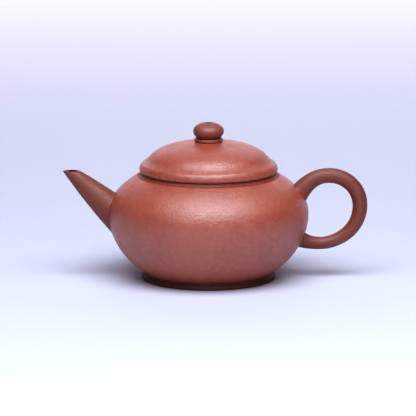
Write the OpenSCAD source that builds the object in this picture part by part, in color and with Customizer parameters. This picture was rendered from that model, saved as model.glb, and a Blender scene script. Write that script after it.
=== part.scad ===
// Small unglazed clay teapot with a lift-off lid, as separate clay pieces.
// Millimetres. Origin: centre of the foot ring where it rests. +Z up, handle towards +X,
// spout towards -X.

/* [Pot body] */
// Width across the widest part of the round body
body_width = 90.6; // [89.5:0.1:92]
// Height of the widest part above the table
belly_height = 29.9; // [29.5:0.1:30.3]
// How far below the belly the lower curve would close on the axis
lower_reach = 35.1; // [34.6:0.1:36]
// How far above the belly the upper curve would close on the axis
upper_reach = 24.3; // [24:0.1:24.8]
// Roundness of both curves, 2 is a plain ellipse
fullness = 2; // [1.96:0.01:2.06]
// Thickness of the clay wall
wall = 3; // [2.6:0.1:3.2]
// Height where the wall ends and the shoulder disc begins
shoulder_joint = 43.5; // [42.5:0.1:44]

/* [Foot and base] */
// Height of the foot ring
foot_height = 2.4; // [2.2:0.1:3]
// Width across the foot ring
foot_width = 60.4; // [59:0.2:61.4]
// Width of the band of clay that makes the foot ring
foot_band = 3.4; // [3:0.1:4]
// Radius of the lower edges of the foot ring
foot_edge = 0.7; // [0.4:0.1:0.9]
// Radius of the outer top edge of the foot ring
foot_shoulder = 0.5; // [0.3:0.1:0.7]
// Thickness of the base disc at its centre
base_thick = 2.8; // [2.4:0.1:3.2]
// Side of the blank square impression under the base
seal_side = 14; // [10:0.5:18]
// Depth of the blank square impression
seal_depth = 0.5; // [0.3:0.1:0.8]

/* [Neck and mouth] */
// Width of the neck ring that the lid rests on
neck_width = 61.2; // [60.8:0.1:61.8]
// Width of the round mouth
mouth_width = 54; // [53:0.1:54.6]
// Height where the neck ring stands on the shoulder
neck_foot = 47; // [46.7:0.1:47.3]
// Height of the seat on top of the neck ring
seat_height = 48.5; // [48.3:0.1:48.9]
// Radius of the outer top edge of the neck ring
neck_edge = 0.5; // [0.3:0.1:0.7]

/* [Lid] */
// Width across the rim of the lid
lid_width = 62.5; // [62.2:0.1:63.2]
// Thickness of the flat rim slab
rim_thick = 4.3; // [4:0.1:4.6]
// Radius of the lower edge of the rim
rim_low_edge = 1.4; // [1:0.1:1.6]
// Half width of the curve the dome follows
dome_half = 28.1; // [27.8:0.1:28.3]
// Rise of the curve the dome follows
dome_rise = 11.3; // [11:0.1:11.7]
// Roundness of that curve, 2 is a plain ellipse and more is flatter on top
dome_fullness = 2.2; // [2.1:0.05:2.3]
// Thickness of the dome
dome_wall = 2.6; // [2.2:0.1:2.8]
// How deep the flange reaches into the mouth
flange_depth = 9.1; // [8:0.1:9.6]
// Thickness of the flange
flange_thick = 2.5; // [2:0.1:2.8]
// Gap between the flange and the mouth, all round
flange_gap = 0.3; // [0.2:0.05:0.5]

/* [Knob] */
// Width of the knob
knob_width = 13.9; // [12.5:0.1:15]
// Height of the knob above the washer it stands on
knob_height = 7.2; // [6.8:0.1:7.8]
// Height of the widest part of the knob, as a share of its height
knob_waist = 0.46; // [0.42:0.01:0.5]
// Width of the washer under the knob
washer_width = 12.8; // [12.4:0.1:13.4]
// Thickness of the washer
washer_thick = 1.6; // [1.4:0.05:1.8]
// Width of the air hole through the knob
vent_width = 3; // [2.4:0.1:3.4]

/* [Spout] */
// Slope of the spout below the horizontal, towards the body
spout_slope = 42.6; // [42:0.1:43.2]
// How far from the pot axis the spout line passes the gauge point
spout_reach = 60.4; // [60:0.1:61]
// Height of the same gauge point on the spout line
spout_rise = 46.65; // [46.3:0.05:46.9]
// Height at which the spout is cut level
spout_top = 49.05; // [48.65:0.1:49.25]
// Radius of the spout at the gauge point
spout_radius = 3.3; // [3.2:0.05:3.5]
// Gain in radius for each millimetre towards the body
spout_gain = 0.214; // [0.206:0.002:0.222]
// How quickly that gain eases off
spout_ease = 0.0019; // [0.0017:0.0001:0.0021]
// Clay thickness at the lip of the spout
lip_wall = 0.75; // [0.65:0.05:0.95]
// Clay thickness where the spout meets the body
root_wall = 2.2; // [1.9:0.1:2.4]

/* [Strainer] */
// Radius of the hollow ball strainer inside the root of the spout
strainer_radius = 8.8; // [8.5:0.1:9.4]
// Thickness of the strainer
strainer_wall = 1.5; // [1.3:0.1:1.6]
// Width of each strainer hole
strainer_hole = 2; // [1.6:0.1:2.2]
// Radius of the way through the wall behind the spout
passage_radius = 4.7; // [4.4:0.1:5]

/* [Handle] */
// Distance from the pot axis to the outermost point of the handle line
handle_reach = 68.6; // [68:0.1:70]
// Height of the outermost point of the handle line
handle_mid = 33.1; // [32.7:0.1:33.7]
// Height of the top of the handle line
handle_top = 46.9; // [46.3:0.05:47.3]
// Height of the bottom of the handle line
handle_bottom = 15.75; // [15.5:0.05:16.3]
// Radius of the clay roll at the top of the handle
grip_radius = 3.38; // [3.1:0.02:3.6]
// Radius of the clay roll at the bottom of the handle
tail_radius = 2.8; // [2.6:0.05:3]

/* [Hidden] */
$fn = 96;

clay = [0.62, 0.31, 0.25];
body_r = body_width / 2;
neck_r = neck_width / 2;
mouth_r = mouth_width / 2;
lid_r = lid_width / 2;
vent_r = vent_width / 2;
belly_steps = 16;
shoulder_steps = 12;
disc_steps = 5;

// Shorthand for points on curves.
function bezier3(p, t) = pow(1 - t, 3) * p[0] + 3 * pow(1 - t, 2) * t * p[1]
    + 3 * (1 - t) * t * t * p[2] + pow(t, 3) * p[3];
function bezier2(p, t) = pow(1 - t, 2) * p[0] + 2 * (1 - t) * t * p[1] + t * t * p[2];
function arc(centre, radii, from, to, steps) = [for (i = [0:steps])
    let (a = from + (to - from) * i / steps)
    [centre[0] + radii[0] * cos(a), centre[1] + radii[1] * sin(a)]];
function unit(v) = v / norm(v);

// The body outline: two quarter curves that share the belly. An angle of 0 is the belly,
// positive angles climb the upper curve and negative ones run down the lower curve.
function reach_at(a) = a < 0 ? lower_reach : upper_reach;
function outer_at(a) = [body_r * pow(cos(a), 2 / fullness),
    belly_height + sign(a) * reach_at(a) * pow(sin(abs(a)), 2 / fullness)];
function angle_at(z) = sign(z - belly_height)
    * asin(pow(abs(z - belly_height) / reach_at(z - belly_height), fullness / 2));
function slope_at(a) = unit(outer_at(a + 0.2) - outer_at(a - 0.2));
function inner_at(a) = outer_at(a) - wall * [slope_at(a)[1], -slope_at(a)[0]];
function outline(from, to, steps) = [for (i = [0:steps]) outer_at(from + (to - from) * i / steps)];
function inline(from, to, steps) = [for (i = [0:steps]) inner_at(from + (to - from) * i / steps)];
function reversed(list) = [for (i = [len(list) - 1:-1:0]) list[i]];

foot_angle = angle_at(foot_height);
joint_angle = angle_at(shoulder_joint);
neck_angle = angle_at(neck_foot);
base_r = outer_at(foot_angle)[0];
foot_r = foot_width / 2;
floor_height = foot_height + base_thick;
ceiling = inner_at(neck_angle)[1];

module turn(points) {
    rotate_extrude() polygon(points);
}

module body_solid() {
    turn(concat([[0, foot_height]], outline(foot_angle, 0, belly_steps),
        outline(neck_angle / shoulder_steps, neck_angle, shoulder_steps), [[0, neck_foot]]));
}

// Room inside the wall, taller than the strainer.
module body_room() {
    low = foot_angle * 0.7;
    high = joint_angle * 0.9;
    turn(concat([[0, inner_at(low)[1]]], inline(low, 0, 12), inline(high / 8, high, 8),
        [[0, inner_at(high)[1]]]));
}

module spout_way() {
    translate([-spout_reach, 0, spout_rise]) rotate([0, 90 + spout_slope, 0]) children();
}

module body_wall() {
    color(clay) difference() {
        turn(concat(outline(foot_angle, 0, belly_steps),
            outline(joint_angle / shoulder_steps, joint_angle, shoulder_steps),
            inline(joint_angle, 0, shoulder_steps),
            inline(foot_angle / belly_steps, foot_angle, belly_steps)));
        spout_way() cylinder(r = passage_radius, h = 40, $fn = 64);
    }
}

module base_disc() {
    rim = inner_at(foot_angle);
    color(clay) difference() {
        turn([[0, foot_height], [base_r, foot_height], rim, [rim[0] - 4, floor_height - 0.1],
            [0, floor_height]]);
        translate([-seal_side / 2, -seal_side / 2, foot_height - 1])
            cube([seal_side, seal_side, 1 + seal_depth]);
    }
}

module foot_ring() {
    foot_in = foot_r - foot_band;
    color(clay) turn(concat(
        [[foot_in, foot_height]],
        arc([foot_in + foot_edge, foot_edge], [foot_edge, foot_edge], 180, 270, 5),
        arc([foot_r - foot_edge, foot_edge], [foot_edge, foot_edge], 270, 360, 5),
        arc([foot_r - foot_shoulder, foot_height - foot_shoulder],
            [foot_shoulder, foot_shoulder], 0, 90, 5)));
}

module shoulder_disc() {
    color(clay) turn(concat(
        outline(joint_angle, neck_angle, disc_steps),
        [[mouth_r, neck_foot], [mouth_r, ceiling]],
        inline(neck_angle, joint_angle, disc_steps)));
}

// A ring with a rounded top edge over a cove that runs out onto the shoulder.
neck_toe = 0.15;
module neck_ring() {
    toe = outer_at(neck_angle)[0];
    waist = seat_height - neck_edge;
    color(clay) turn(concat(
        [[mouth_r, seat_height], [mouth_r, neck_foot], [toe, neck_foot]],
        reversed(arc([toe, waist], [toe - neck_r, waist - neck_foot - neck_toe], 180, 270, 5)),
        arc([neck_r - neck_edge, waist], [neck_edge, neck_edge], 12, 90, 5)));
}

// Outer radius of the spout at a distance along its line from the gauge point.
function spout_r(t) = spout_radius + spout_gain * t - spout_ease * t * t;
function spout_wall(t) = lip_wall + (root_wall - lip_wall) * min(1, max(0, (t + 3) / 24));
spout_from = -8;
spout_to = 36;
spout_steps = 11;

module spout() {
    color(clay) difference() {
        spout_way() turn(concat(
            [for (i = [0:spout_steps])
                let (t = spout_from + (spout_to - spout_from) * i / spout_steps) [spout_r(t), t]],
            [for (i = [spout_steps:-1:0])
                let (t = spout_from + (spout_to - spout_from) * i / spout_steps)
                [spout_r(t) - spout_wall(t), t]]));
        translate([-100, -20, spout_top]) cube([100, 40, 20]);
        body_solid();
    }
}

module strainer() {
    centre_x = -inner_at(0)[0];
    reach = (spout_reach + centre_x) / cos(spout_slope);
    centre_z = spout_rise - reach * sin(spout_slope);
    color(clay) intersection() {
        body_room();
        translate([centre_x, 0, centre_z]) difference() {
            sphere(r = strainer_radius);
            sphere(r = strainer_radius - strainer_wall);
            rotate([0, 90, 0]) cylinder(d = strainer_hole, h = 12, $fn = 24);
            for (ring = [[6, 28], [12, 54]])
                for (i = [0:ring[0] - 1])
                    rotate([i * 360 / ring[0], 0, 0]) rotate([0, 90 - ring[1], 0])
                        cylinder(d = strainer_hole, h = 12, $fn = 24);
        }
    }
}

// The handle line as four curves; each point is [distance from axis, height, clay radius].
handle_top_x = 54.5;
handle_bottom_x = 50.3;
handle_line = [
    [[38.7, 35.3, 5], [44.3, handle_top - 2, 3.5],
        [handle_top_x - 4.8, handle_top, grip_radius], [handle_top_x, handle_top, grip_radius]],
    [[handle_top_x, handle_top, grip_radius], [handle_top_x + 7.9, handle_top, grip_radius],
        [handle_reach, handle_mid + 7.8, 3.45], [handle_reach, handle_mid, 3.36]],
    [[handle_reach, handle_mid, 3.36], [handle_reach, handle_mid - 10.6, 3.15],
        [handle_bottom_x + 9, handle_bottom, 2.85], [handle_bottom_x, handle_bottom, tail_radius]],
    [[handle_bottom_x, handle_bottom, tail_radius], [45.8, handle_bottom, 2.85],
        [42.5, handle_bottom + 1.2, 3.5], [39.5, handle_bottom + 2.9, 4.2]]];
handle_steps = 11;
handle_sides = 24;
function handle_at(s) = let (k = min(3, floor(s))) bezier3(handle_line[k], s - k);
function handle_heading(s) = unit([for (i = [0:1])
    handle_at(min(4, s + 0.02))[i] - handle_at(max(0, s - 0.02))[i]]);
function handle_ring(s) = let (p = handle_at(s), h = handle_heading(s))
    [for (j = [0:handle_sides - 1]) let (a = j * 360 / handle_sides)
        [p[0] - h[1] * p[2] * cos(a), p[2] * sin(a), p[1] + h[0] * p[2] * cos(a)]];

module handle() {
    rings = 4 * handle_steps;
    points = [for (i = [0:rings]) each handle_ring(i / handle_steps)];
    sides = [for (i = [0:rings - 1]) for (j = [0:handle_sides - 1])
        let (a = i * handle_sides + j, b = i * handle_sides + (j + 1) % handle_sides)
        each [[a, b, b + handle_sides], [a, b + handle_sides, a + handle_sides]]];
    start_cap = [for (j = [handle_sides - 1:-1:0]) j];
    end_cap = [for (j = [0:handle_sides - 1]) rings * handle_sides + j];
    color(clay) difference() {
        polyhedron(points = points, faces = concat(sides, [start_cap, end_cap]));
        body_solid();
    }
}

// The lid outline, from the seat up.
rim_top = seat_height + rim_thick;
rim_side = 1.7;
rim_bead = 2.6;
rim_turn = 60;
bead_r = lid_r - rim_bead * (1 - cos(rim_turn));
bead_rise = (rim_thick - rim_side) / sin(rim_turn);
cove_run = 2.1;
cove_rise = 1.2;
dome_sink = 1.4;
dome_base = rim_top - dome_sink;
washer_r = washer_width / 2;
dome_start = 19.2;
dome_end = acos(pow(washer_r / dome_half, dome_fullness / 2));
function dome_at(a) = [dome_half * pow(cos(a), 2 / dome_fullness),
    dome_base + dome_rise * pow(sin(a), 2 / dome_fullness)];
washer_foot = dome_at(dome_end)[1];
washer_top = washer_foot + washer_thick;
dome_in = dome_half - dome_wall;
dome_hollow = washer_foot - dome_wall + 0.2 - rim_top;
flange_out = mouth_r - flange_gap;
flange_in = flange_out - flange_thick;

module lid_rim() {
    color(clay) turn(concat(
        [[flange_in, rim_top], [flange_in, seat_height]],
        arc([lid_r - rim_low_edge, seat_height + rim_low_edge], [rim_low_edge, rim_low_edge],
            270, 360, 6),
        arc([lid_r - rim_bead, seat_height + rim_side], [rim_bead, bead_rise], 0, rim_turn, 8)));
}

module lid_dome() {
    cove = [[bead_r, rim_top], [bead_r - cove_run, rim_top + cove_rise], dome_at(dome_start)];
    color(clay) turn(concat(
        [[dome_in, rim_top]],
        [for (i = [0:5]) bezier2(cove, i / 6)],
        [for (i = [0:14]) dome_at(dome_start + (dome_end - dome_start) * i / 14)],
        [[vent_r, washer_foot]],
        reversed(arc([0, rim_top], [dome_in, dome_hollow], 3, 90 - 3, 12))));
}

module lid_flange() {
    tip = seat_height - flange_depth;
    color(clay) turn([[flange_in, seat_height], [flange_in + 0.5, tip], [flange_out - 1, tip],
        [flange_out - 0.2, tip + 1.2], [flange_out, seat_height]]);
}

module knob_washer() {
    edge = 0.6;
    undercut = 0.45;
    color(clay) turn(concat(
        [[vent_r, washer_foot]],
        arc([washer_r - undercut, washer_foot + undercut], [undercut, undercut], 270, 360, 5),
        arc([washer_r - edge, washer_top - edge], [edge, edge], 0, 90, 5),
        [[vent_r, washer_top]]));
}

module knob() {
    equator = washer_top + knob_height * knob_waist;
    rise = knob_height * (1 - knob_waist);
    drop = knob_height * 0.64;
    brow = 71;
    brow_top = equator + rise * sin(brow);
    lip = [0.35, 0.02];
    throat = [0.1, 0.1];
    throat_depth = 0.22;
    seat_angle = asin(knob_height * knob_waist / drop);
    color(clay) turn(concat(
        [[vent_r, washer_top]],
        arc([0, equator], [knob_width / 2, drop], -seat_angle, 0, 9),
        arc([0, equator], [knob_width / 2, rise], 6, brow, 11),
        [[vent_r + lip[0], brow_top - lip[1]], [vent_r + throat[0], brow_top - throat[1]],
            [vent_r, brow_top - throat_depth]]));
}

body_wall();
base_disc();
shoulder_disc();
neck_ring();
foot_ring();
spout();
strainer();
handle();
lid_dome();
lid_rim();
lid_flange();
knob_washer();
knob();
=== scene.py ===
"""Small unglazed clay teapot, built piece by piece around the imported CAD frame. Metres."""

import math

import bmesh
import bpy
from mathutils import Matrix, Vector


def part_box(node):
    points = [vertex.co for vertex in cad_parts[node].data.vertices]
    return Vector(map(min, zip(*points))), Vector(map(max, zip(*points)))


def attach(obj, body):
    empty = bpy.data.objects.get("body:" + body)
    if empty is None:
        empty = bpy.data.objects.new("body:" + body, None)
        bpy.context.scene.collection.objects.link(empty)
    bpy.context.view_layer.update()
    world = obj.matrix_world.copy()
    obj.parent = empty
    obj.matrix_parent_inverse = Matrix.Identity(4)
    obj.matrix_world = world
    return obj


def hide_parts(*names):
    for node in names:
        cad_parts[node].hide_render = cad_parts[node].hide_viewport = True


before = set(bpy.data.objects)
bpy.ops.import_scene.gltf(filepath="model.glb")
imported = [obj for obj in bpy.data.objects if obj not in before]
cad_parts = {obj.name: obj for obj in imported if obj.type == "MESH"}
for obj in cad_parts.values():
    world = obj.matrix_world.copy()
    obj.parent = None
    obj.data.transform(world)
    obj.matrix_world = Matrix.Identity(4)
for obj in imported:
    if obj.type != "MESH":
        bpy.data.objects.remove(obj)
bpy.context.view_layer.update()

MM = 0.001

# ---------------------------------------------------------------- sizes from the frame
wall_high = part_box("body_wall")[1]
foot_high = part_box("foot_ring")[1]
shoulder_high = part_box("shoulder_disc")[1]
neck_low, neck_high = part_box("neck_ring")
base_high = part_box("base_disc")[1]
flange_low, flange_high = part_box("lid_flange")
rim_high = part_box("lid_rim")[1]
washer_low, washer_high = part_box("knob_washer")
knob_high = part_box("knob")[1]
spout_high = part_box("spout")[1]
handle_low, handle_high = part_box("handle")

BELLY_R = wall_high.x
FOOT_R = foot_high.x
FOOT_TOP = foot_high.z
BASE_R = base_high.x
JOINT_R, JOINT_Z = shoulder_high.x, wall_high.z
NECK_FOOT, SEAT = neck_low.z, neck_high.z
FLOOR = base_high.z
FLANGE_OUT = flange_high.x
RIM_R, RIM_TOP = rim_high.x, rim_high.z
WASHER_R, WASHER_FOOT, WASHER_TOP = washer_high.x, washer_low.z, washer_high.z
KNOB_R, KNOB_TOP = knob_high.x, knob_high.z
SPOUT_TOP = spout_high.z
HANDLE_OUT, HANDLE_TOP, HANDLE_BOTTOM = handle_high.x, handle_high.z, handle_low.z

# The shape constants of the part that a box doesn't show.
FULLNESS = 2.0
BELLY_Z = 29.9 * MM
WALL = 3.0 * MM
FOOT_BAND = 3.4 * MM
FLANGE_GAP = 0.3 * MM
FLANGE_THICK = 2.5 * MM
NECK_R = 30.6 * MM
DOME_HALF, DOME_RISE, DOME_WALL = 28.1 * MM, 11.3 * MM, 2.6 * MM
DOME_FULLNESS = 2.2
DOME_START = math.radians(19.2)
VENT_R = 1.5 * MM
SEAL_SIDE, SEAL_DEPTH = 14 * MM, 0.5 * MM
KNOB_WAIST = 0.46
KNOB_HEIGHT = 7.2 * MM
SPOUT_SLOPE = math.radians(42.6)
SPOUT_GAUGE = Vector((-60.4 * MM, 0, 46.65 * MM))
HANDLE_MID = 33.1 * MM
GRIP_R, BEND_R, TAIL_R = 3.38 * MM, 3.36 * MM, 2.8 * MM
PASSAGE_R = 4.7 * MM
MOUTH_R = FLANGE_OUT + FLANGE_GAP
FLANGE_IN = FLANGE_OUT - FLANGE_THICK

AROUND = 240          # sides of a large turned piece
KNOB_AROUND = 160     # sides of the knob and its washer
SHARP = 25            # degrees; a steeper edge than this stays crisp

# ---------------------------------------------------------------- curves


def bezier(points, t):
    """Point on the Bezier curve of any number of control points."""
    points = [Vector(p) for p in points]
    while len(points) > 1:
        points = [a.lerp(b, t) for a, b in zip(points, points[1:])]
    return points[0]


def arc(centre, radii, start, end, steps):
    """Points on an ellipse from start to end, in degrees."""
    angles = [math.radians(start + (end - start) * i / steps) for i in range(steps + 1)]
    return [Vector((centre[0] + radii[0] * math.cos(a), centre[1] + radii[1] * math.sin(a)))
            for a in angles]


def rounded(corners, steps=6):
    """Outline through corners of (radius, height, rounding in mm)."""
    outline = []
    count = len(corners)
    for i, corner in enumerate(corners):
        here = Vector(corner[:2])
        radius = corner[2] * MM if len(corner) > 2 else 0
        if not radius:
            outline.append(here)
            continue
        before = Vector(corners[i - 1][:2]) - here
        after = Vector(corners[(i + 1) % count][:2]) - here
        cut = radius / math.tan(before.angle(after) / 2)
        cut = min(cut, before.length * 0.48, after.length * 0.48)
        ends = here + before.normalized() * cut, here + after.normalized() * cut
        outline += [bezier((ends[0], here, ends[1]), k / steps) for k in range(steps + 1)]
    return outline


def body_reach(height, radius):
    """How far from the belly a quarter curve closes on the axis, given one point on it."""
    share = (1 - (radius / BELLY_R) ** FULLNESS) ** (1 / FULLNESS)
    return abs(height - BELLY_Z) / share


LOWER_REACH = body_reach(FOOT_TOP, BASE_R)
UPPER_REACH = body_reach(JOINT_Z, JOINT_R)


def body_r(height):
    """Radius of the outside of the body at a height."""
    reach = UPPER_REACH if height > BELLY_Z else LOWER_REACH
    share = min(1.0, abs(height - BELLY_Z) / reach)
    return BELLY_R * (1 - share ** FULLNESS) ** (1 / FULLNESS)


def body_angle(height):
    reach = UPPER_REACH if height > BELLY_Z else LOWER_REACH
    share = abs(height - BELLY_Z) / reach
    return math.copysign(math.asin(share ** (FULLNESS / 2)), height - BELLY_Z)


def body_point(angle):
    """(radius, height) on the outside of the body; angle 0 is the belly."""
    reach = UPPER_REACH if angle > 0 else LOWER_REACH
    return Vector((BELLY_R * math.cos(angle) ** (2 / FULLNESS),
                   BELLY_Z + math.copysign(reach * abs(math.sin(angle)) ** (2 / FULLNESS), angle)))


def body_inner(angle):
    slope = (body_point(angle + 0.004) - body_point(angle - 0.004)).normalized()
    return body_point(angle) - WALL * Vector((slope.y, -slope.x))


def body_run(curve, start, end, steps):
    return [curve(start + (end - start) * i / steps) for i in range(steps + 1)]


def body_normal(point):
    """Outward normal of the body where a point lies on it."""
    step = 0.02 * MM
    slope = (body_r(point.z + step) - body_r(point.z - step)) / (2 * step)
    out = Vector((point.x, point.y, 0)).normalized()
    return Vector((out.x, out.y, -slope)).normalized()


FOOT_ANGLE = body_angle(FOOT_TOP)
JOINT_ANGLE = body_angle(JOINT_Z)
NECK_ANGLE = body_angle(NECK_FOOT)

# ---------------------------------------------------------------- meshes


def skin(name, loops, closed=True):
    """Mesh over a row of loops; closed joins the last loop to the first."""
    around = len(loops[0])
    faces = []
    for i in range(len(loops) if closed else len(loops) - 1):
        a, b = i * around, (i + 1) % len(loops) * around
        for j in range(around):
            k = (j + 1) % around
            faces.append((a + j, a + k, b + k, b + j))
    mesh = bpy.data.meshes.new(name)
    mesh.from_pydata([p for loop in loops for p in loop], [], faces)
    work = bmesh.new()
    work.from_mesh(mesh)
    bmesh.ops.remove_doubles(work, verts=work.verts, dist=1e-7)
    bmesh.ops.recalc_face_normals(work, faces=work.faces)
    work.to_mesh(mesh)
    work.free()
    smooth(mesh)
    piece = bpy.data.objects.new(name, mesh)
    bpy.context.scene.collection.objects.link(piece)
    return piece


def smooth(mesh):
    mesh.shade_smooth()
    mesh.set_sharp_from_angle(angle=math.radians(SHARP))


def turned(name, outline, around=AROUND):
    """A closed outline of (radius, height) points turned about the pot's axis."""
    turns = [2 * math.pi * j / around for j in range(around)]
    return skin(name, [[(p[0] * math.cos(a), p[0] * math.sin(a), p[1]) for a in turns]
                       for p in outline])


def carve(piece, cutter):
    """Takes the cutter's shape out of a piece and drops the cutter."""
    cut = piece.modifiers.new("carve", "BOOLEAN")
    cut.operation = "DIFFERENCE"
    cut.solver = "EXACT"
    cut.object = cutter
    graph = bpy.context.evaluated_depsgraph_get()
    piece.data = bpy.data.meshes.new_from_object(piece.evaluated_get(graph))
    piece.modifiers.clear()
    smooth(piece.data)
    bpy.data.objects.remove(cutter)


def place(piece, body, node, material, within=None):
    """Puts a piece on its body in place of a CAD node; within(centre) picks the faces that get the
    near-black painted shade.
    """
    piece.data.materials.clear()
    piece.data.materials.append(material)
    if within:
        piece.data.materials.append(painted_hole_shade)
        for face in piece.data.polygons:
            face.material_index = int(within(face))
    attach(piece, body)
    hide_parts(node)


# ---------------------------------------------------------------- clay


class Graph:
    """Short calls for building one material's node tree."""

    def __init__(self, name):
        self.material = bpy.data.materials.new(name)
        self.material.use_nodes = True
        self.tree = self.material.node_tree
        self.shader = self.tree.nodes["Principled BSDF"]
        self.coordinates = self.tree.nodes.new("ShaderNodeTexCoord").outputs["Object"]

    def node(self, kind, links=(), **settings):
        made = self.tree.nodes.new(kind)
        for key, value in settings.items():
            setattr(made, key, value)
        for socket, value in dict(links).items():
            target = made.inputs[socket]
            if isinstance(value, bpy.types.NodeSocket):
                self.tree.links.new(value, target)
            else:
                target.default_value = value
        return made

    def noise(self, scale, detail=4.0, vector=None, offset=0.0):
        where = vector or self.coordinates
        if offset:
            where = self.node("ShaderNodeVectorMath", {0: where, 1: (offset, offset, offset)},
                              operation="ADD").outputs[0]
        return self.node("ShaderNodeTexNoise", {"Vector": where, "Scale": scale,
                                                "Detail": detail}).outputs["Fac"]

    def math(self, operation, a, b=0.0):
        return self.node("ShaderNodeMath", {0: a, 1: b}, operation=operation).outputs[0]

    def remap(self, value, low, high, to_low=0.0, to_high=1.0):
        return self.node("ShaderNodeMapRange", {"Value": value, "From Min": low, "From Max": high,
                                                "To Min": to_low, "To Max": to_high}).outputs[0]

    def mix(self, amount, a, b):
        made = self.node("ShaderNodeMix", data_type="RGBA")
        for socket, value in ((0, amount), (6, a), (7, b)):
            target = made.inputs[socket]
            if isinstance(value, bpy.types.NodeSocket):
                self.tree.links.new(value, target)
            else:
                target.default_value = value
        return made.outputs[2]

    def grains(self, scale, low, high, size):
        """Mask of scattered round grains; low to high picks how many cells hold one."""
        cells = self.node("ShaderNodeTexVoronoi", {"Vector": self.coordinates, "Scale": scale})
        pick = self.node("ShaderNodeSeparateColor", {0: cells.outputs["Color"]}).outputs[0]
        chosen = self.remap(pick, low, high)
        near = self.remap(cells.outputs["Distance"], size, size * 0.4)
        return self.math("MULTIPLY", chosen, near)


SPEC = 1.0
INDEX = 1.6
ROUGH = 0.37
CLAY = (0.42, 0.103, 0.056, 1)
CLAY_DEEP = (0.36, 0.077, 0.038, 1)
CLAY_PALE = (0.50, 0.140, 0.078, 1)
GRAIN_PALE = (0.52, 0.18, 0.10, 1)
GRAIN_DARK = (0.13, 0.035, 0.020, 1)
PALE_SCALE, PALE_FROM = 2000, 0.93      # cells per metre, and the share of cells left bare
DARK_SCALE, DARK_FROM = 1100, 0.97
BUMP, BUMP_DEPTH = 1.0, 0.2 * MM
DIMPLES = 1700.0
SAND = 2600


def clay(name, roughness=ROUGH, grain=1.0, ring_marks=0.3, offset=0.0, depth=1.0, spec=SPEC,
         painted_low_shade=None):
    """Fired, unglazed sandy clay: mottled tone, scattered grains, a fine dimpled skin.

    depth scales the tone down, as painted shade; the last argument is (height, height, factor),
    painted shade that darkens the clay low down.
    """
    g = Graph(name)
    tone = g.mix(g.remap(g.noise(38, 3, offset=offset), 0.35, 0.65), CLAY, CLAY_DEEP)
    tone = g.mix(g.remap(g.noise(420, 5, offset=offset), 0.45, 0.75, 0, 0.55), tone, CLAY_PALE)
    tone = g.mix(g.remap(g.noise(900, 3, offset=offset), 0.5, 0.8, 0, 0.6), tone, CLAY_DEEP)
    tone = g.mix(g.grains(PALE_SCALE, PALE_FROM, PALE_FROM + 0.08, 0.55), tone, GRAIN_PALE)
    tone = g.mix(g.grains(DARK_SCALE, DARK_FROM, DARK_FROM + 0.05, 0.42), tone, GRAIN_DARK)
    # Painted shade: depth below 1 makes a darker copy of the same clay.
    if depth != 1.0:
        tone = g.node("ShaderNodeVectorMath", {0: tone, 1: (depth, depth, depth)},
                      operation="MULTIPLY").outputs[0]
    apart = g.node("ShaderNodeSeparateXYZ", {0: g.coordinates}).outputs
    # Painted shade: the clay darkens towards the bottom, between the two heights.
    if painted_low_shade:
        shade = g.remap(apart[2], painted_low_shade[0], painted_low_shade[1], painted_low_shade[2], 1.0)
        tone = g.node("ShaderNodeVectorMath", {0: tone, "Scale": shade},
                      operation="SCALE").outputs[0]
    g.tree.links.new(tone, g.shader.inputs["Base Color"])

    square = g.math("ADD", g.math("MULTIPLY", apart[0], apart[0]),
                    g.math("MULTIPLY", apart[1], apart[1]))
    around = g.node("ShaderNodeCombineXYZ", {0: g.math("SQRT", square), 2: apart[2]}).outputs[0]
    rings = g.noise(1300, 2, vector=around)

    rough = g.remap(g.noise(160, 4, offset=offset), 0.3, 0.7, roughness - 0.06, roughness + 0.08)
    g.tree.links.new(rough, g.shader.inputs["Roughness"])
    g.shader.inputs["Specular IOR Level"].default_value = spec
    g.shader.inputs["IOR"].default_value = INDEX

    dimples = g.node("ShaderNodeTexVoronoi", {"Vector": g.coordinates, "Scale": DIMPLES},
                     feature="SMOOTH_F1").outputs["Distance"]
    sand = g.noise(SAND, 4)
    height = g.math("ADD", g.math("MULTIPLY", dimples, 0.6 * grain),
                    g.math("MULTIPLY", sand, 0.8 * grain))
    height = g.math("ADD", height, g.math("MULTIPLY", rings, ring_marks))
    bump = g.node("ShaderNodeBump", {"Height": height, "Strength": BUMP, "Distance": BUMP_DEPTH})
    g.tree.links.new(bump.outputs[0], g.shader.inputs["Normal"])
    return g.material


# Painted shade on the wall just above the foot, where the crease lies in shade.
PAINTED_FOOT_SHADE = (2.4 * MM, 7.2 * MM, 0.82)
# Painted shade: the spout, handle, neck, knob and foot use darker copies of the same clay; the
# spout's bore and the air hole get near-black painted shade.
SMALL_PAINTED_SHADE, NECK_PAINTED_SHADE, KNOB_PAINTED_SHADE, FOOT_PAINTED_SHADE, HOLE_PAINTED_SHADE = 0.56, 0.64, 0.68, 0.32, 0.12
SMALL_ROUGH, KNOB_ROUGH, HOLE_SHADE_ROUGH, INSIDE_ROUGH = 0.5, 0.48, 0.9, 0.55

burnished = clay("clay_burnished")
wall_clay_with_painted_shade = clay("clay_wall_painted_shade", painted_low_shade=PAINTED_FOOT_SHADE)
small_work_painted_shade = clay("clay_small_work_painted_shade", roughness=SMALL_ROUGH, depth=SMALL_PAINTED_SHADE, grain=0.9,
                  ring_marks=0.1, offset=0.3, spec=0.6)
knob_clay_painted_shade = clay("clay_knob_painted_shade", roughness=KNOB_ROUGH, depth=KNOB_PAINTED_SHADE, ring_marks=0.3, offset=0.4,
                 spec=0.8)
neck_clay_painted_shade = clay("clay_neck_painted_shade", roughness=SMALL_ROUGH, depth=NECK_PAINTED_SHADE, grain=0.9, ring_marks=0.6,
                 offset=0.6, spec=0.5)
foot_clay_painted_shade = clay("clay_foot_painted_shade", roughness=SMALL_ROUGH, depth=FOOT_PAINTED_SHADE, ring_marks=0.6, offset=0.5,
                 spec=0.4)
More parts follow.
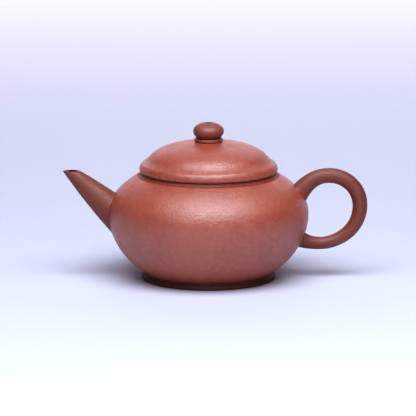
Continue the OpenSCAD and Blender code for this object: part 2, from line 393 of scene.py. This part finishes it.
# Painted shade: near-black clay in the spout's bore and the air hole, where they lie in shade.
painted_hole_shade = clay("clay_painted_hole_shade", roughness=HOLE_SHADE_ROUGH, depth=HOLE_PAINTED_SHADE, ring_marks=0.2,
               offset=0.9, spec=0.1)
inside = clay("clay_inside", roughness=INSIDE_ROUGH, grain=1.3, ring_marks=1.2, offset=0.7)

# ---------------------------------------------------------------- pot: turned pieces

FLOOR_CURVE = 5 * MM
wall = turned("PotWall", body_run(body_point, FOOT_ANGLE, JOINT_ANGLE, 150)
              + body_run(body_inner, JOINT_ANGLE, FOOT_ANGLE, 70))

base_rim = body_inner(FOOT_ANGLE)
base_top = [bezier((base_rim, (base_rim.x - 1.5 * MM, FLOOR - 0.05 * MM),
                    (base_rim.x - FLOOR_CURVE, FLOOR)), i / 8) for i in range(9)]
base = turned("BaseDisc", [(0, FOOT_TOP), (BASE_R, FOOT_TOP)] + base_top + [(0, FLOOR)])
bpy.ops.mesh.primitive_cube_add(size=1, location=(0, 0, FOOT_TOP),
                                scale=(SEAL_SIDE, SEAL_SIDE, 2 * SEAL_DEPTH))
seal = bpy.context.object
soften = seal.modifiers.new("soften", "BEVEL")
soften.width, soften.segments = 0.3 * MM, 3
carve(base, seal)

shoulder = turned("ShoulderDisc", body_run(body_point, JOINT_ANGLE, NECK_ANGLE, 40)
                  + rounded([(MOUTH_R, NECK_FOOT), (MOUTH_R, body_inner(NECK_ANGLE).y, 0.8),
                             tuple(body_inner(NECK_ANGLE))], 6)
                  + body_run(body_inner, NECK_ANGLE, JOINT_ANGLE, 20)[1:])

NECK_EDGE = 0.5 * MM
NECK_TOE = 0.15 * MM
neck_toe_r, neck_waist = neck_high.x, SEAT - NECK_EDGE
neck = turned("NeckRing", rounded([
    (MOUTH_R, SEAT, 0.35), (MOUTH_R, NECK_FOOT), (neck_toe_r, NECK_FOOT)])
    + arc((neck_toe_r, neck_waist), (neck_toe_r - NECK_R, neck_waist - NECK_FOOT - NECK_TOE),
          270, 180, 12)
    + arc((NECK_R - NECK_EDGE, neck_waist), (NECK_EDGE, NECK_EDGE), 8, 90, 10))

FOOT_EDGE = 0.7            # mm, as rounded() takes it
FOOT_SLIP = 1.1 * MM       # height of the slip above the foot ring, up the wall
SLIP_START = 0.6 * MM      # where it begins, below the ring's top
slip_angle = body_angle(FOOT_TOP + FOOT_SLIP)
slip_foot = (FOOT_R, FOOT_TOP - SLIP_START)
slip = (slip_foot, (FOOT_R, FOOT_TOP - 0.2 * MM), (FOOT_R - 0.7 * MM, FOOT_TOP + 0.1 * MM),
        body_point(slip_angle))
under_wall = [p - Vector((0.05 * MM, 0)) for p in body_run(body_point, slip_angle, FOOT_ANGLE, 6)]
foot = turned("FootRing", rounded([
    (FOOT_R - FOOT_BAND, FOOT_TOP), (FOOT_R - FOOT_BAND, 0, FOOT_EDGE), (FOOT_R, 0, FOOT_EDGE),
    slip_foot])
    + [bezier(slip, i / 12) for i in range(1, 12)] + under_wall)

# ---------------------------------------------------------------- pot: spout

ALONG = Vector((math.cos(SPOUT_SLOPE), 0, -math.sin(SPOUT_SLOPE)))
ACROSS = Vector((0, 1, 0))
ABOVE = Vector((math.sin(SPOUT_SLOPE), 0, math.cos(SPOUT_SLOPE)))


def spout_r(along):
    """Outer radius at a distance down the spout's axis from its gauge point."""
    t = along / MM
    return (3.3 + 0.214 * t - 0.0019 * t * t) * MM


def spout_clay(along):
    """Thickness of the clay there, thin at the mouth."""
    return (0.75 + 1.45 * min(1, max(0, (along / MM + 3) / 24))) * MM


def spout_point(along, turn, inner):
    radius = spout_r(along) - (spout_clay(along) if inner else 0)
    return SPOUT_GAUGE + ALONG * along + radius * (ACROSS * math.cos(turn) + ABOVE * math.sin(turn))


def crossing(curve, low, high, outside):
    """Where a curve leaves a region: outside(point) is false at low and true at high."""
    for _ in range(40):
        middle = (low + high) / 2
        if outside(curve(middle)):
            high = middle
        else:
            low = middle
    return high


def within_body(point):
    return math.hypot(point.x, point.y) < body_r(point.z)


def joint_fillet(edge, crease, reach, centre, steps=4):
    """Slip fillet from a ruling's last free point, away from the centre along the body's surface."""
    normal = body_normal(crease)
    side = crease - centre
    side = side - normal * side.dot(normal)
    toe = crease + side.normalized() * reach - normal * 0.03 * MM
    return [bezier((edge, crease, toe), i / steps) for i in range(1, steps + 1)]


def spout_ruling(turn, inner):
    """One line down the spout, with where it leaves the level mouth and meets the body."""
    def at(along):
        return spout_point(along, turn, inner)
    start = crossing(at, -8 * MM, 12 * MM, lambda p: p.z < SPOUT_TOP)
    end = crossing(at, 8 * MM, 40 * MM, within_body)
    return at, start, end


def build_spout(around=144, steps=70, lip=0.38 * MM, slip=0.45 * MM):
    rulings = []
    for j in range(around):
        turn = 2 * math.pi * j / around
        at, start, end = spout_ruling(turn, False)
        centre = SPOUT_GAUGE + ALONG * end
        outer = [at(start + lip + (end - slip - start - lip) * (i / steps))
                 for i in range(steps + 1)]
        root = joint_fillet(at(end - slip), at(end), slip, centre)
        inner_at, inner_start, inner_end = spout_ruling(turn, True)
        corner, inner_corner = at(start), inner_at(inner_start)
        level = corner.lerp(inner_corner, 0.5)
        lip_outer = [bezier((level, corner, outer[0]), i / 6) for i in range(6)]
        inner_lip = inner_at(inner_start + lip)
        lip_inner = [bezier((inner_lip, inner_corner, level), i / 6) for i in range(6)]
        bore = [inner_at(inner_end + (inner_start + lip - inner_end) * i / 40) for i in range(40)]
        rulings.append(bore + lip_inner + lip_outer + outer + root)
    return skin("Spout", [[ruling[i] for ruling in rulings] for i in range(len(rulings[0]))])


spout = build_spout()

PASSAGE_ALONG, PASSAGE_LENGTH = 25 * MM, 20 * MM
bpy.ops.mesh.primitive_cylinder_add(radius=PASSAGE_R, depth=PASSAGE_LENGTH, vertices=64,
                                    location=SPOUT_GAUGE + ALONG * PASSAGE_ALONG,
                                    rotation=(0, math.pi / 2 + SPOUT_SLOPE, 0))
carve(wall, bpy.context.object)

# ---------------------------------------------------------------- pot: handle

HANDLE_TOP_X, HANDLE_BOTTOM_X = 54.5 * MM, 50.3 * MM
HANDLE_SLIP = 0.35 * MM
line_top = HANDLE_TOP - GRIP_R
line_bottom = HANDLE_BOTTOM + TAIL_R
line_out = HANDLE_OUT - BEND_R
handle_curves = [
    [(38.7 * MM, 35.3 * MM, 5.0 * MM), (44.3 * MM, line_top - 2 * MM, 3.5 * MM),
     (HANDLE_TOP_X - 4.8 * MM, line_top, GRIP_R), (HANDLE_TOP_X, line_top, GRIP_R)],
    [(HANDLE_TOP_X, line_top, GRIP_R), (HANDLE_TOP_X + 7.9 * MM, line_top, GRIP_R),
     (line_out, HANDLE_MID + 7.8 * MM, 3.45 * MM), (line_out, HANDLE_MID, BEND_R)],
    [(line_out, HANDLE_MID, BEND_R), (line_out, HANDLE_MID - 10.6 * MM, 3.15 * MM),
     (HANDLE_BOTTOM_X + 9 * MM, line_bottom, 2.85 * MM), (HANDLE_BOTTOM_X, line_bottom, TAIL_R)],
    [(HANDLE_BOTTOM_X, line_bottom, TAIL_R), (45.8 * MM, line_bottom, 2.85 * MM),
     (42.5 * MM, line_bottom + 1.2 * MM, 3.5 * MM), (39.5 * MM, line_bottom + 2.9 * MM, 4.2 * MM)]]


def handle_line(s):
    """(x, z, radius) along the roll, s running 0 to 4 over the four curves."""
    k = min(3, int(s))
    return bezier(handle_curves[k], s - k)


def handle_point(s, turn):
    """Point on the roll's surface."""
    x, z, radius = handle_line(s)
    ahead, behind = handle_line(min(4, s + 0.01)), handle_line(max(0, s - 0.01))
    heading = Vector((ahead.x - behind.x, ahead.y - behind.y)).normalized()
    return Vector((x - heading.y * radius * math.cos(turn), radius * math.sin(turn),
                   z + heading.x * radius * math.cos(turn)))


def build_handle(around=96, steps=190, gap=0.02):
    """Lines along the roll from root to root; gap is left free at each end for the slip."""
    rulings = []
    for j in range(around):
        turn = 2 * math.pi * j / around

        def at(s):
            return handle_point(s, turn)
        start = crossing(at, 1, 0, within_body)
        end = crossing(at, 3, 4, within_body)
        free = [at(start + gap + (end - start - 2 * gap) * i / steps) for i in range(steps + 1)]
        centres = [Vector((handle_line(s).x, 0, handle_line(s).y)) for s in (start, end)]
        first = joint_fillet(free[0], at(start), HANDLE_SLIP, centres[0])
        last = joint_fillet(free[-1], at(end), HANDLE_SLIP, centres[1])
        rulings.append(first[::-1] + free + last)
    return rulings


def build_capped(name, rulings):
    """Mesh over rulings, closed by a fan at each end."""
    loops = [[ruling[i] for ruling in rulings] for i in range(len(rulings[0]))]
    for end in (0, -1):
        middle = sum(loops[end], Vector()) / len(loops[end])
        cap = [[p.lerp(middle, share) for p in loops[end]] for share in (0.5, 1.0)]
        loops = cap[::-1] + loops if end == 0 else loops + cap
    return skin(name, loops, closed=False)


handle = build_capped("Handle", build_handle())

# ---------------------------------------------------------------- lid

dome_end = math.acos((WASHER_R / DOME_HALF) ** (DOME_FULLNESS / 2))
dome_base = WASHER_FOOT - DOME_RISE * math.sin(dome_end) ** (2 / DOME_FULLNESS)
rim_side, rim_bead, RIM_TURN = 1.7 * MM, 2.6 * MM, math.radians(60)
bead_r = RIM_R - rim_bead * (1 - math.cos(RIM_TURN))
bead_rise = (RIM_TOP - SEAT - rim_side) / math.sin(RIM_TURN)
dome_in = DOME_HALF - DOME_WALL
dome_hollow = WASHER_FOOT - DOME_WALL + 0.2 * MM - RIM_TOP


def dome_point(angle):
    """(radius, height) on the outside of the dome; the angle climbs from its foot."""
    return Vector((DOME_HALF * math.cos(angle) ** (2 / DOME_FULLNESS),
                   dome_base + DOME_RISE * math.sin(angle) ** (2 / DOME_FULLNESS)))


cove = ((bead_r, RIM_TOP), (bead_r - 2.1 * MM, RIM_TOP + 1.2 * MM), dome_point(DOME_START))
dome = turned("LidDome", [(dome_in, RIM_TOP)]
              + [bezier(cove, i / 14) for i in range(14)]
              + body_run(dome_point, DOME_START, dome_end, 60)
              + [(VENT_R, WASHER_FOOT)]
              + arc((0, RIM_TOP), (dome_in, dome_hollow), 87, 2, 40))

LOW_EDGE = 1.4 * MM
rim = turned("LidRim", [(FLANGE_IN, RIM_TOP), (FLANGE_IN, SEAT)]
             + arc((RIM_R - LOW_EDGE, SEAT + LOW_EDGE), (LOW_EDGE, LOW_EDGE), 270, 360, 12)
             + arc((RIM_R - rim_bead, SEAT + rim_side), (rim_bead, bead_rise),
                   0, math.degrees(RIM_TURN), 20))

tip = flange_low.z
flange = turned("LidFlange", rounded([
    (FLANGE_IN, SEAT), (FLANGE_IN + 0.5 * MM, tip, 0.5), (FLANGE_OUT - 1.0 * MM, tip, 0.6),
    (FLANGE_OUT - 0.2 * MM, tip + 1.2 * MM, 0.6), (FLANGE_OUT, SEAT)]))

washer = turned("KnobWasher", rounded([
    (VENT_R, WASHER_TOP), (VENT_R, WASHER_FOOT), (WASHER_R, WASHER_FOOT, 0.55),
    (WASHER_R, WASHER_TOP, 0.77)], 10), KNOB_AROUND)

equator = WASHER_TOP + KNOB_HEIGHT * KNOB_WAIST
rise, drop = KNOB_HEIGHT * (1 - KNOB_WAIST), KNOB_HEIGHT * 0.64
brow = arc((0, equator), (KNOB_R, rise), 71, 71, 1)[0]
seat_angle = math.degrees(math.asin(KNOB_HEIGHT * KNOB_WAIST / drop))
knob = turned("Knob", [(VENT_R, WASHER_TOP)]
              + arc((0, equator), (KNOB_R, drop), -seat_angle, 0, 30)
              + arc((0, equator), (KNOB_R, rise), 2, 69, 36)
              + [bezier((brow, (VENT_R + 0.1 * MM, KNOB_TOP), (VENT_R, KNOB_TOP - 0.3 * MM)), i / 8)
                 for i in range(9)] + [(VENT_R, equator)], KNOB_AROUND)

# ---------------------------------------------------------------- bodies and materials


# The faces these pick get the near-black painted shade.
def in_bore(face):
    """True on the faces inside the spout, past the open side of its mouth."""
    along = (face.center - SPOUT_GAUGE).dot(ALONG)
    off_axis = (face.center - SPOUT_GAUGE - ALONG * along).length
    return along > -3.4 * MM and off_axis < spout_r(along) - spout_clay(along) / 2


def in_vent(face):
    """True on the faces of the air hole."""
    return (math.hypot(face.center.x, face.center.y) < VENT_R + 0.03 * MM
            and face.center.z < KNOB_TOP - 0.28 * MM)


for piece, node, material, within in (
        (wall, "body_wall", wall_clay_with_painted_shade, None), (base, "base_disc", inside, None),
        (shoulder, "shoulder_disc", burnished, None), (neck, "neck_ring", neck_clay_painted_shade, None),
        (foot, "foot_ring", foot_clay_painted_shade, None), (spout, "spout", small_work_painted_shade, in_bore),
        (handle, "handle", small_work_painted_shade, None)):
    place(piece, "pot", node, material, within)
for piece, node, material, within in (
        (dome, "lid_dome", burnished, None), (rim, "lid_rim", burnished, None),
        (flange, "lid_flange", inside, None), (washer, "knob_washer", knob_clay_painted_shade, in_vent),
        (knob, "knob", knob_clay_painted_shade, in_vent)):
    place(piece, "lid", node, material, within)

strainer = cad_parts["strainer"]
strainer.data.materials.clear()
strainer.data.materials.append(inside)
smooth(strainer.data)

# ---------------------------------------------------------------- floor, light, camera

PAPER = (0.665, 0.64, 0.72, 1)


def studio_sweep():
    """Plain pale floor that curves up into a backdrop."""
    bend, reach, wide = 0.9, 1.3, 4.0
    profile = [(-2.2, 0.0), (reach, 0.0)]
    profile += [(reach + bend * math.sin(a), bend - bend * math.cos(a))
                for a in (math.pi / 2 * i / 24 for i in range(1, 25))]
    profile += [(reach + bend, 3.0)]
    points = [(side * wide, y, z) for y, z in profile for side in (-1, 1)]
    faces = [(2 * i, 2 * i + 1, 2 * i + 3, 2 * i + 2) for i in range(len(profile) - 1)]
    mesh = bpy.data.meshes.new("StudioSweep")
    mesh.from_pydata(points, [], faces)
    mesh.shade_smooth()
    sweep = bpy.data.objects.new("StudioSweep", mesh)
    bpy.context.scene.collection.objects.link(sweep)
    paint = Graph("studio_paper")
    paint.shader.inputs["Base Color"].default_value = PAPER
    paint.shader.inputs["Roughness"].default_value = 0.9
    mesh.materials.append(paint.material)


def softbox(name, place_at, aim, size, power, colour):
    light = bpy.data.lights.new(name, "AREA")
    light.shape = "RECTANGLE"
    light.size, light.size_y = size
    light.energy = power
    light.color = colour
    lamp = bpy.data.objects.new(name, light)
    lamp.location = place_at
    lamp.rotation_euler = (Vector(aim) - Vector(place_at)).to_track_quat("-Z", "Y").to_euler()
    bpy.context.scene.collection.objects.link(lamp)


studio_sweep()
KEY_UP = math.radians(61)
KEY_AWAY = 0.75
KEY_ASIDE = 0.03
KEY_SIZE = (0.8, 0.58)
KEY_POWER = 7.5
KEY_COLOUR = (0.79, 0.885, 1.0)
TOP_POWER = 0.2
TOP_SIZE = (0.6, 0.4)
TOP_AT = (0, 0, 0.75)
BACK_POWER = 45
BACK_AT, BACK_SIZE = (0, 0.9, 1.6), (2.4, 0.8)
BACK_COLOUR = (0.94, 0.965, 1.0)
BACK_AIM = (0, 2.0, 1.0)
FILL_POWER = 1.5
FILL_SIZE = (1.6, 0.5)
FILL_AT = (0, -1.2, 0.25)
WORLD_COLOUR, WORLD_POWER = (0.86, 0.90, 1.0, 1), 0.06
POT_AIM = (0, 0, 0.03)
softbox("Key", (KEY_ASIDE, -KEY_AWAY * math.cos(KEY_UP), POT_AIM[2] + KEY_AWAY * math.sin(KEY_UP)),
        POT_AIM, KEY_SIZE, KEY_POWER, KEY_COLOUR)
softbox("Top", TOP_AT, POT_AIM, TOP_SIZE, TOP_POWER, KEY_COLOUR)
softbox("Backdrop", BACK_AT, BACK_AIM, BACK_SIZE, BACK_POWER, BACK_COLOUR)
softbox("Fill", FILL_AT, (0, 0, 0.02), FILL_SIZE, FILL_POWER, KEY_COLOUR)
bpy.context.scene.view_settings.view_transform = "Standard"
bpy.context.scene.view_settings.look = "High Contrast"

world = bpy.data.worlds.new("studio")
world.use_nodes = True
background = world.node_tree.nodes["Background"]
background.inputs["Color"].default_value = WORLD_COLOUR
background.inputs["Strength"].default_value = WORLD_POWER
bpy.context.scene.world = world

# The view: long lens, looking along +Y and down on the pot.
LOOK_DOWN = math.radians(11)
CAMERA_AWAY = 1.6
SENSOR = 36
FRAME_WIDTH = 0.1885
LOOK_AT = Vector((-0.25 * MM, 0, 31.9 * MM))
camera = bpy.data.cameras.new("view")
camera.sensor_width = SENSOR
camera.lens = SENSOR * CAMERA_AWAY / FRAME_WIDTH
camera.clip_start, camera.clip_end = 0.05, 20
camera_object = bpy.data.objects.new("view", camera)
camera_object.location = LOOK_AT + CAMERA_AWAY * Vector((0, -math.cos(LOOK_DOWN),
                                                         math.sin(LOOK_DOWN)))
camera_object.rotation_euler = (math.pi / 2 - LOOK_DOWN, 0, 0)
bpy.context.scene.collection.objects.link(camera_object)
bpy.context.scene.camera = camera_object
